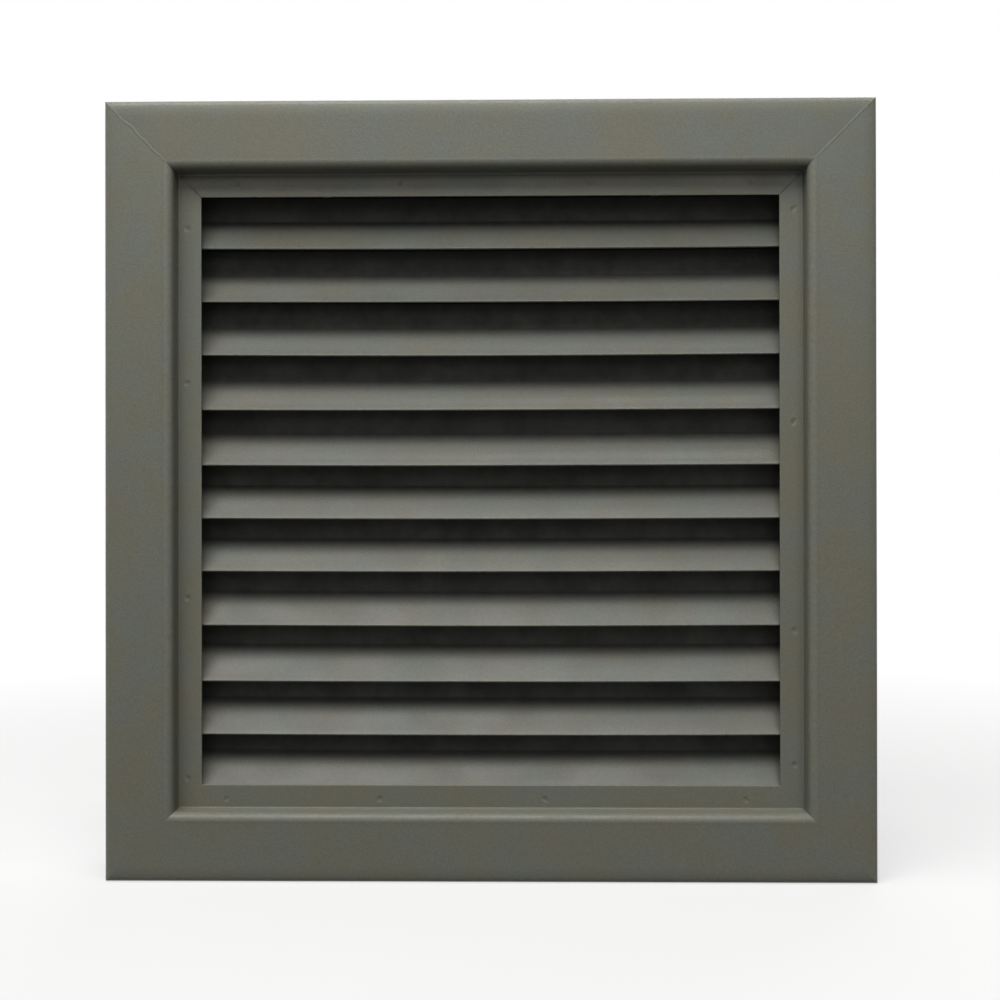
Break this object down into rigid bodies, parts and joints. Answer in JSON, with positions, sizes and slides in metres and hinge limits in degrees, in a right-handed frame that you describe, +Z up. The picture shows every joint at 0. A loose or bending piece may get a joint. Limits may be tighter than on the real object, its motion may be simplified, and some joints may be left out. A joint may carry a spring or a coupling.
{
  "type": "door louver",
  "caption": "Square steel door louver: mitred trim frames on both faces and a core of sight-proof inverted Y blades, in olive bronze enamel.",
  "frame": {"origin": "middle of the opening at half the door's thickness, which is the middle of the part's box", "axes": "+Z up, front face towards -Y, +X to the right as seen from the front"},
  "size_m": [0.358, 0.0524, 0.363],
  "materials": {
    "trim_enamel": "satin baked enamel, olive bronze grey",
    "blade_enamel": "satin baked enamel, olive bronze grey",
    "core_enamel": "satin baked enamel, thinner inside",
    "screw_zinc": "zinc plated"
  },
  "bodies": {
    "root": {"front_trim_head": "trim_enamel", "front_trim_sill": "trim_enamel", "front_trim_left": "trim_enamel", "front_trim_right": "trim_enamel", "rear_trim_head": "trim_enamel", "rear_trim_sill": "trim_enamel", "rear_trim_left": "trim_enamel", "rear_trim_right": "trim_enamel", "core_head": "core_enamel", "core_sill": "core_enamel", "core_left": "core_enamel", "core_right": "core_enamel", "blade_01": "blade_enamel", "blade_02": "blade_enamel", "blade_03": "blade_enamel", "blade_04": "blade_enamel", "blade_05": "blade_enamel", "blade_06": "blade_enamel", "blade_07": "blade_enamel", "blade_08": "blade_enamel", "blade_09": "blade_enamel", "blade_10": "blade_enamel", "blade_11": "blade_enamel", "trim_screws": "screw_zinc"}
  },
  "joints": []
}
